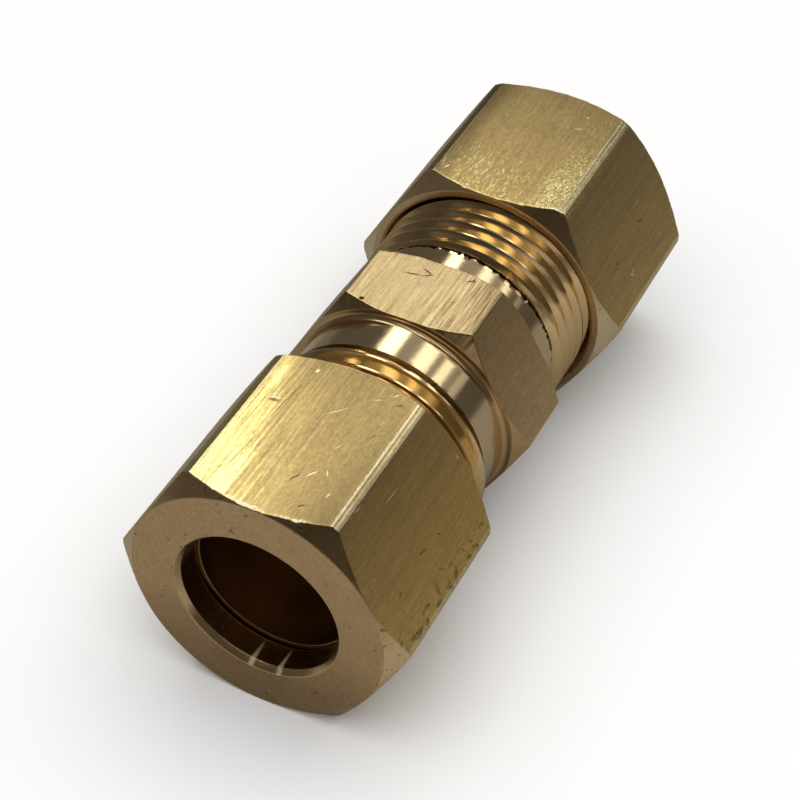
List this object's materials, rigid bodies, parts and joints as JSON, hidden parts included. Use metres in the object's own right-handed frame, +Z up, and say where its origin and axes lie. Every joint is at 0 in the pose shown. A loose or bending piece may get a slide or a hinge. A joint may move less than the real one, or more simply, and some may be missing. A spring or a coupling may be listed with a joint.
{
  "type": "straight compression union",
  "caption": "Straight brass compression union that joins equal tubes end to end: hexagonal body with threaded arms, long hexagonal nuts and loose ferrules.",
  "frame": {"origin": "on the tube axis, half way between the outer faces of the nuts as pictured", "axes": "+X along the tube axis to the right, +Z up from the flats that the nuts lie on, so the pictured near end is at -X"},
  "size_m": [0.0414, 0.018, 0.0158],
  "materials": {
    "brass_body": "drawn and turned, satin, with polished necks",
    "brass_nut": "drawn flats, turned ends, lightly scratched and tarnished",
    "brass_ferrule": "turned, smooth"
  },
  "bodies": {
    "union": {"body": "brass_body"},
    "left_ferrule": {"ferrule_left": "brass_ferrule"},
    "left_nut": {"nut_left": "brass_nut"},
    "right_ferrule": {"ferrule_right": "brass_ferrule"},
    "right_nut": {"nut_right": "brass_nut"}
  },
  "joints": [
    {"name": "left_travel", "type": "slide", "parent": "union", "child": "left_ferrule", "axis": [-1, 0, 0], "range_m": [-0.00086, 0.0048]},
    {"name": "left_turn", "type": "hinge", "parent": "left_ferrule", "child": "left_nut", "pos_m": [-0.01472, 0, 0], "axis": [-1, 0, 0], "range_deg": [-285, 1620]},
    {"name": "right_travel", "type": "slide", "parent": "union", "child": "right_ferrule", "axis": [1, 0, 0], "range_m": [-0.00126, 0.0046]},
    {"name": "right_turn", "type": "hinge", "parent": "right_ferrule", "child": "right_nut", "pos_m": [0.01472, 0, 0], "axis": [1, 0, 0], "range_deg": [-425, 1530]}
  ],
  "couplings": [
    {"joint": "left_travel", "follows": "left_turn", "m_per_rad": 0.00016843},
    {"joint": "right_travel", "follows": "right_turn", "m_per_rad": 0.00016843}
  ]
}
